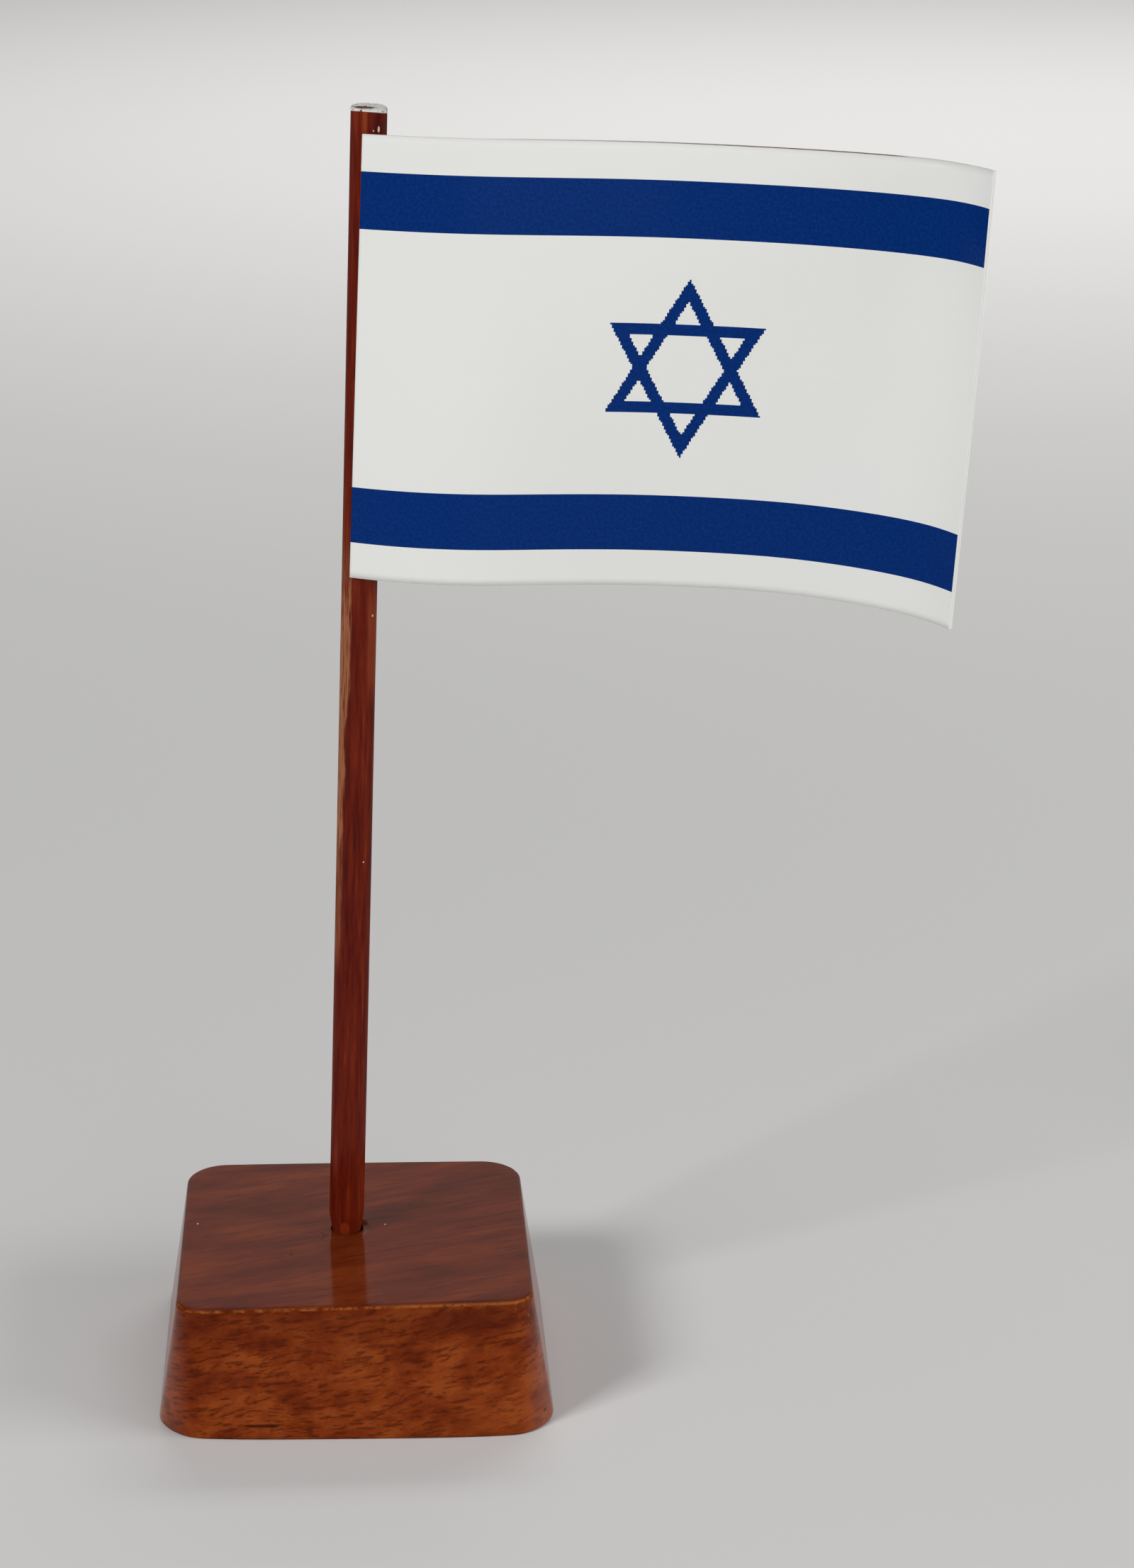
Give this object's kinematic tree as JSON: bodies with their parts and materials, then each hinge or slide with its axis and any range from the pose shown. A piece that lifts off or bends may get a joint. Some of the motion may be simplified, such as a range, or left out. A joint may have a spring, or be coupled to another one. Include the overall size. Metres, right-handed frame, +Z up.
{
  "type": "desk flag stand",
  "caption": "Desk flag: a sloped, varnished wooden block with a drilled socket, a round lacquered stick standing loose in it, and a double-sided printed sheet glued to the stick.",
  "frame": {"origin": "middle of the block's flat underside", "axes": "+Z up; the block's long sides and the flag's flying direction along +X; the printed front faces -Y"},
  "size_m": [0.1869, 0.091, 0.3017],
  "materials": {
    "varnished_wood": "clear gloss varnish over red-brown figured wood, worn along the edges",
    "lacquered_stick": "glossy red-brown stain and lacquer over a round stick, pale chipped paint on the sawn tip",
    "front_print": "glossy photo print, white with two blue bands and a blue six-pointed star",
    "back_print": "glossy photo print, the same design seen from the other side",
    "adhesive": "thin brownish film of dried adhesive",
    "glue": "dried, slightly amber wood glue"
  },
  "bodies": {
    "base": {"base_block": "varnished_wood"},
    "flag_pole": {"pole": "lacquered_stick", "glue_bead": "glue", "flag_front_print": "front_print", "adhesive_film": "adhesive", "flag_back_print": "back_print"}
  },
  "joints": [
    {"name": "pole_lift", "type": "slide", "parent": "base", "child": "flag_pole", "axis": [0.0319, -0.0115, 0.9994], "range_m": [0, 0.03]}
  ]
}
